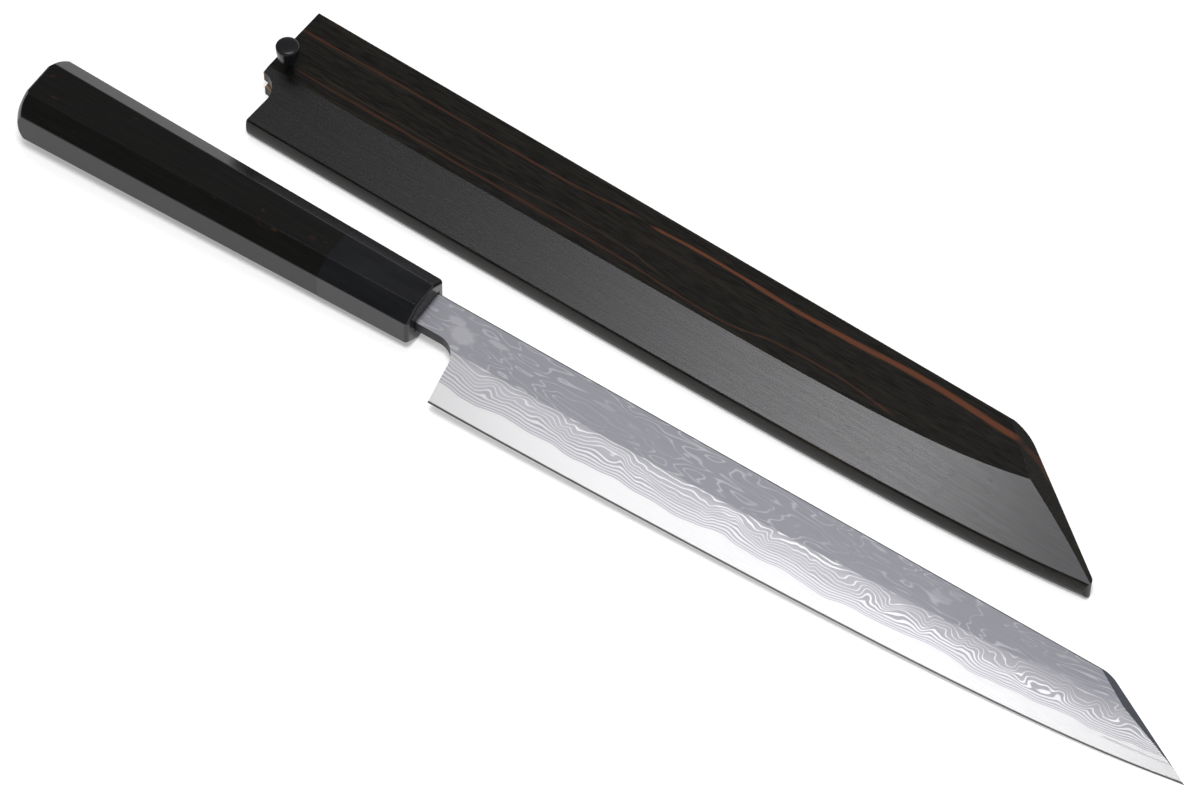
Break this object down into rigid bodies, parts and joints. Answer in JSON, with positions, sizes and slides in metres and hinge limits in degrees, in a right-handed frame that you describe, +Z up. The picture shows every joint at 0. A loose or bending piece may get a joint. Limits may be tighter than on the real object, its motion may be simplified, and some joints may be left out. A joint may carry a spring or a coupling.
{
  "type": "yanagiba knife with wooden sheath",
  "caption": "Long slender single-bevel slicing knife with octagonal wooden handle and horn ferrule, beside its wooden sheath with a round-headed retaining pin.",
  "frame": {"origin": "on the table, below the middle of the bounding box of knife and sheath as they lie side by side", "axes": "+X along the knife from butt to tip, +Y from the cutting edge to the spine and on to the sheath, +Z up from the table"},
  "size_m": [0.4449, 0.1075, 0.0269],
  "materials": {
    "ebony": "polished, nearly black with a few brown figures",
    "horn": "polished black horn",
    "dowel_wood": "plain light wood, hidden inside the handle",
    "resin": "dark cured resin",
    "layered_steel": "ground and etched layered steel",
    "hard_steel": "bright ground steel",
    "sheath_wood": "oiled dark wood with brown stripes",
    "pin_wood": "polished, black"
  },
  "bodies": {
    "knife": {"handle": "ebony", "ferrule": "horn", "tang_dowel": "dowel_wood", "neck_seal": "resin", "blade_cladding": "layered_steel", "blade_core": "hard_steel"},
    "sheath": {"sheath_front": "sheath_wood", "sheath_back": "sheath_wood"},
    "sheath_pin": {"sheath_pin": "pin_wood"}
  },
  "joints": [
    {"name": "sheath_slide", "type": "slide", "parent": "knife", "child": "sheath", "axis": [1, 0, 0], "range_m": [0, 0.395]},
    {"name": "pin_slide", "type": "slide", "parent": "sheath", "child": "sheath_pin", "axis": [0, 0, 1], "range_m": [0, 0.02]}
  ]
}
